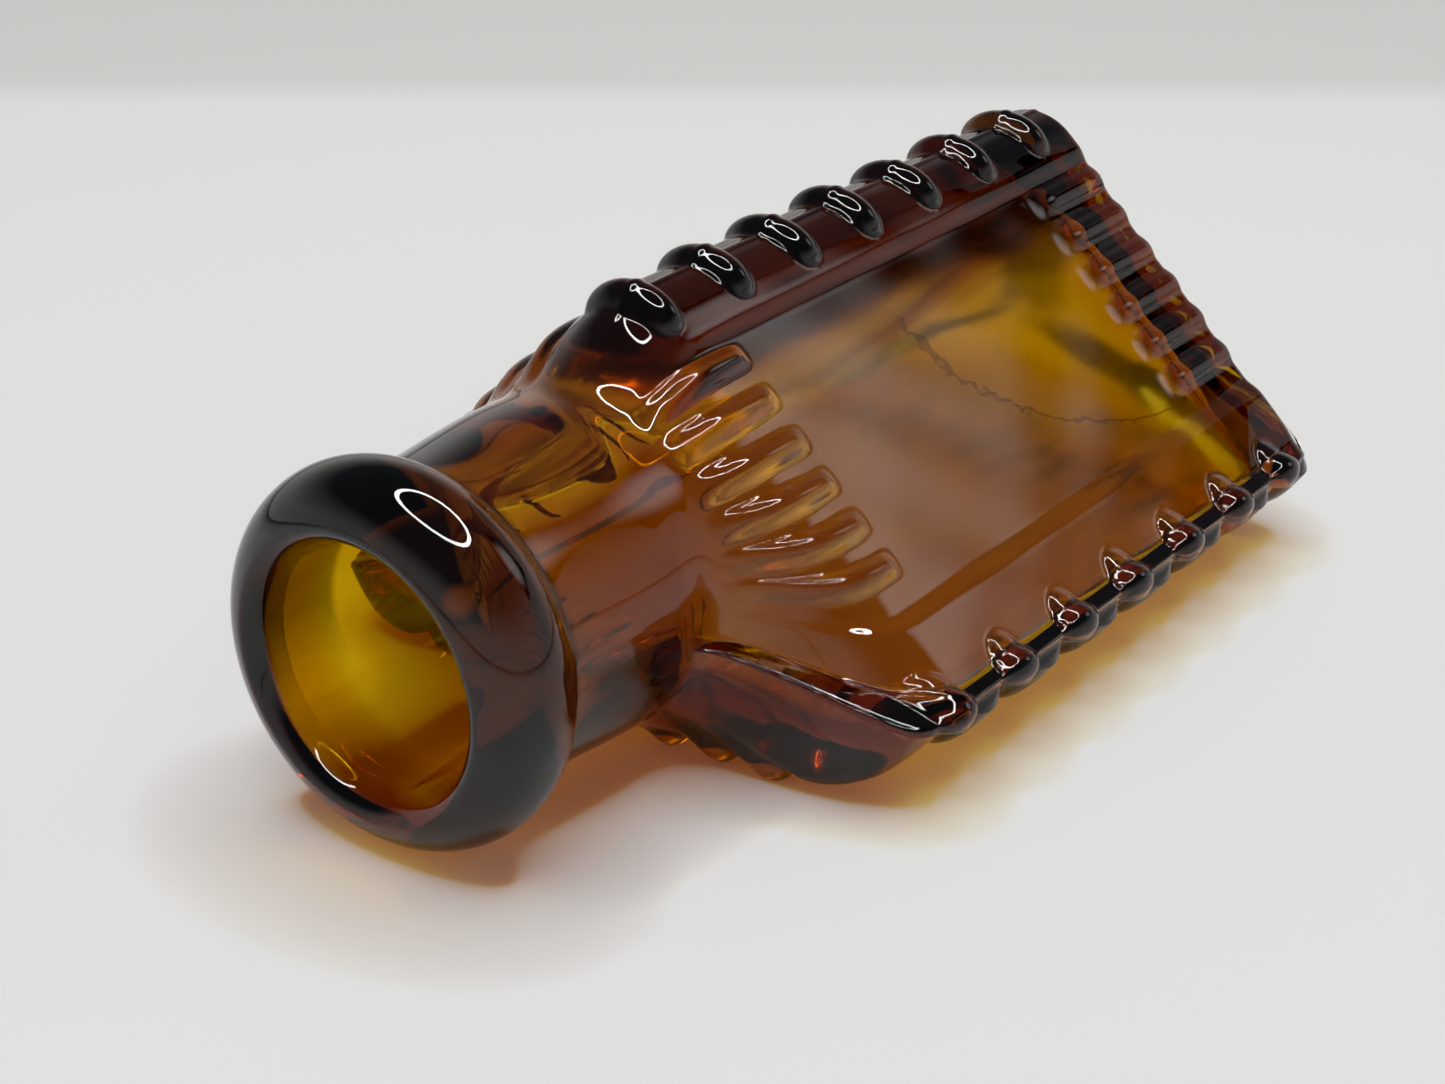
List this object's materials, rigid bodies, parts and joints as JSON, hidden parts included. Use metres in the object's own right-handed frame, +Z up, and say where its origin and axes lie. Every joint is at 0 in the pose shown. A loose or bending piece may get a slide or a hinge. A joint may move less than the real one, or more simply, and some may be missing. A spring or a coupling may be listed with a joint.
{
  "type": "three-sided glass bottle",
  "caption": "Empty three-sided amber glass bottle with knobbed corners, short ribs at both ends of each face and a thick rolled lip, lying on its wide back face.",
  "frame": {"origin": "on the resting surface, under the middle of the bottle's bounding box", "axes": "+X along the bottle's axis from mouth to base, +Z up, away from the wide back face that it lies on"},
  "size_m": [0.078, 0.0526, 0.0297],
  "materials": {
    "body_glass": "glossy transparent amber glass, worn",
    "lip_glass": "glossy transparent amber glass, thick and dark"
  },
  "bodies": {
    "root": {"bottle_body": "body_glass", "laid_on_lip": "lip_glass"}
  },
  "joints": []
}
